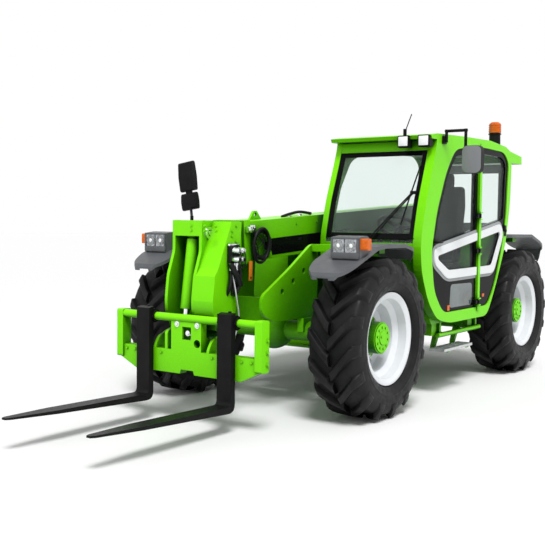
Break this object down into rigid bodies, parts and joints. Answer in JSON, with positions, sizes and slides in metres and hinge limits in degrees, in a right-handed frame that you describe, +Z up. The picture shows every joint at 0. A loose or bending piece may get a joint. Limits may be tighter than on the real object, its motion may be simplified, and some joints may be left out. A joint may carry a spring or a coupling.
{
  "type": "telescopic handler",
  "caption": "Compact telescopic handler with a side cab, a telescoping lift boom, a tilting fork carriage and steered lug-tyred wheels.",
  "frame": {"origin": "on the ground under the middle of the overall box", "axes": "+X forward along the forks, +Y to the machine's left, +Z up"},
  "size_m": [5.698, 2.5877, 2.341],
  "materials": {
    "lime_paint": "gloss paint",
    "tyre": "matt",
    "white_rim": "satin",
    "rod_chrome": "polished",
    "grey_plastic": "matt moulded",
    "cab_trim": "matt moulded",
    "black_panel": "satin black",
    "white_trim": "gloss",
    "seat_cloth": "woven",
    "cab_glass": "clear tinted",
    "lamp_lens": "clear",
    "amber_lens": "clear amber",
    "red_lens": "clear red",
    "black_steel": "satin black",
    "step_metal": "bare",
    "hose_rubber": "matt",
    "engine_iron": "cast"
  },
  "bodies": {
    "chassis": {"chassis_sides": "lime_paint", "chassis_members": "lime_paint", "front_axle": "lime_paint", "rear_axle": "lime_paint", "cab_frame": "lime_paint", "cab_tub": "lime_paint", "windscreen": "cab_glass", "cab_glass": "cab_glass", "quarter_panel": "black_panel", "quarter_trim": "white_trim", "cab_interior": "cab_trim", "steering_wheel": "cab_trim", "seat_cushion": "seat_cloth", "seat_back": "seat_cloth", "wiper": "black_steel", "front_fenders": "grey_plastic", "rear_fenders": "grey_plastic", "headlamps": "lamp_lens", "signal_lamps": "amber_lens", "tail_lamps": "red_lens", "fittings": "grey_plastic", "side_step": "step_metal", "tow_hitch": "black_steel", "engine_block": "engine_iron", "engine_pod": "lime_paint"},
    "door": {"door_leaf": "black_panel", "door_glass": "cab_glass", "door_trim": "white_trim"},
    "bonnet": {"engine_bonnet": "lime_paint"},
    "boom": {"boom_outer": "lime_paint", "boom_hoses": "hose_rubber"},
    "telescope": {"boom_inner": "lime_paint", "boom_head": "lime_paint", "head_couplers": "hose_rubber"},
    "carriage": {"carriage_frame": "lime_paint", "forks": "black_steel"},
    "lift_barrel": {"lift_barrel": "lime_paint"},
    "lift_rod": {"lift_rod": "rod_chrome"},
    "tilt_barrel": {"tilt_barrel": "lime_paint"},
    "tilt_rod": {"tilt_rod": "rod_chrome"},
    "front_steer_rod": {"steer_rod_front": "rod_chrome"},
    "rear_steer_rod": {"steer_rod_rear": "rod_chrome"},
    "front_left_knuckle": {"knuckle_front_left": "lime_paint"},
    "front_left_wheel": {"tyre_front_left": "tyre", "rim_front_left": "white_rim", "hub_front_left": "lime_paint"},
    "front_right_knuckle": {"knuckle_front_right": "lime_paint"},
    "front_right_wheel": {"tyre_front_right": "tyre", "rim_front_right": "white_rim", "hub_front_right": "lime_paint"},
    "rear_left_knuckle": {"knuckle_rear_left": "lime_paint"},
    "rear_left_wheel": {"tyre_rear_left": "tyre", "rim_rear_left": "white_rim", "hub_rear_left": "lime_paint"},
    "rear_right_knuckle": {"knuckle_rear_right": "lime_paint"},
    "rear_right_wheel": {"tyre_rear_right": "tyre", "rim_rear_right": "white_rim", "hub_rear_right": "lime_paint"}
  },
  "joints": [
    {"name": "boom_lift", "type": "hinge", "parent": "chassis", "child": "boom", "pos_m": [-2.339, -0.14, 1.44], "axis": [0, -1, 0], "range_deg": [0, 62]},
    {"name": "boom_extend", "type": "slide", "parent": "boom", "child": "telescope", "axis": [0.998, 0, -0.0628], "range_m": [0, 2.2]},
    {"name": "carriage_tilt", "type": "hinge", "parent": "telescope", "child": "carriage", "pos_m": [1.361, -0.05, 0.612], "axis": [0, 1, 0], "range_deg": [-12, 75]},
    {"name": "lift_barrel_swing", "type": "hinge", "parent": "chassis", "child": "lift_barrel", "pos_m": [-2.139, -0.14, 0.839], "axis": [0, -1, 0], "range_deg": [0, 56]},
    {"name": "lift_rod_slide", "type": "slide", "parent": "lift_barrel", "child": "lift_rod", "axis": [0.9818, 0, 0.1901], "range_m": [0, 0.66]},
    {"name": "tilt_barrel_swing", "type": "hinge", "parent": "telescope", "child": "tilt_barrel", "pos_m": [1.361, -0.14, 1.327], "axis": [0, 1, 0], "range_deg": [-6, 6]},
    {"name": "tilt_rod_slide", "type": "slide", "parent": "tilt_barrel", "child": "tilt_rod", "axis": [0.1437, 0, -0.9896], "range_m": [-0.03, 0.14]},
    {"name": "door_swing", "type": "hinge", "parent": "chassis", "child": "door", "pos_m": [-1.079, 0.99, 1.18], "axis": [0, 0, 1], "range_deg": [0, 95]},
    {"name": "bonnet_lift", "type": "hinge", "parent": "chassis", "child": "bonnet", "pos_m": [-0.789, -0.382, 1.15], "axis": [-1, 0, 0], "range_deg": [0, 60]},
    {"name": "front_steer", "type": "hinge", "parent": "chassis", "child": "front_left_knuckle", "pos_m": [0.561, 0.62, 0.585], "axis": [0, 0, 1], "range_deg": [-30, 30]},
    {"name": "front_right_steer", "type": "hinge", "parent": "chassis", "child": "front_right_knuckle", "pos_m": [0.561, -0.62, 0.585], "axis": [0, 0, 1], "range_deg": [-30, 30]},
    {"name": "front_steer_rod_slide", "type": "slide", "parent": "chassis", "child": "front_steer_rod", "axis": [0, -1, 0], "range_m": [-0.085, 0.085]},
    {"name": "front_left_spin", "type": "hinge", "parent": "front_left_knuckle", "child": "front_left_wheel", "pos_m": [0.561, 0.8475, 0.585], "axis": [0, 1, 0], "continuous": true},
    {"name": "front_right_spin", "type": "hinge", "parent": "front_right_knuckle", "child": "front_right_wheel", "pos_m": [0.561, -0.8475, 0.585], "axis": [0, 1, 0], "continuous": true},
    {"name": "rear_steer", "type": "hinge", "parent": "chassis", "child": "rear_left_knuckle", "pos_m": [-2.139, 0.62, 0.585], "axis": [0, 0, 1], "range_deg": [-30, 30]},
    {"name": "rear_right_steer", "type": "hinge", "parent": "chassis", "child": "rear_right_knuckle", "pos_m": [-2.139, -0.62, 0.585], "axis": [0, 0, 1], "range_deg": [-30, 30]},
    {"name": "rear_steer_rod_slide", "type": "slide", "parent": "chassis", "child": "rear_steer_rod", "axis": [0, 1, 0], "range_m": [-0.085, 0.085]},
    {"name": "rear_left_spin", "type": "hinge", "parent": "rear_left_knuckle", "child": "rear_left_wheel", "pos_m": [-2.139, 0.8475, 0.585], "axis": [0, 1, 0], "continuous": true},
    {"name": "rear_right_spin", "type": "hinge", "parent": "rear_right_knuckle", "child": "rear_right_wheel", "pos_m": [-2.139, -0.8475, 0.585], "axis": [0, 1, 0], "continuous": true}
  ],
  "couplings": [
    {"joint": "lift_barrel_swing", "follows": "boom_lift", "ratio": 0.8844},
    {"joint": "lift_rod_slide", "follows": "boom_lift", "m_per_rad": 0.591},
    {"joint": "tilt_barrel_swing", "follows": "carriage_tilt", "ratio": 0.032},
    {"joint": "tilt_rod_slide", "follows": "carriage_tilt", "m_per_rad": 0.09754},
    {"joint": "front_right_steer", "follows": "front_steer", "ratio": 1},
    {"joint": "front_steer_rod_slide", "follows": "front_steer", "m_per_rad": 0.1576},
    {"joint": "rear_right_steer", "follows": "rear_steer", "ratio": 1},
    {"joint": "rear_steer_rod_slide", "follows": "rear_steer", "m_per_rad": 0.1576}
  ]
}
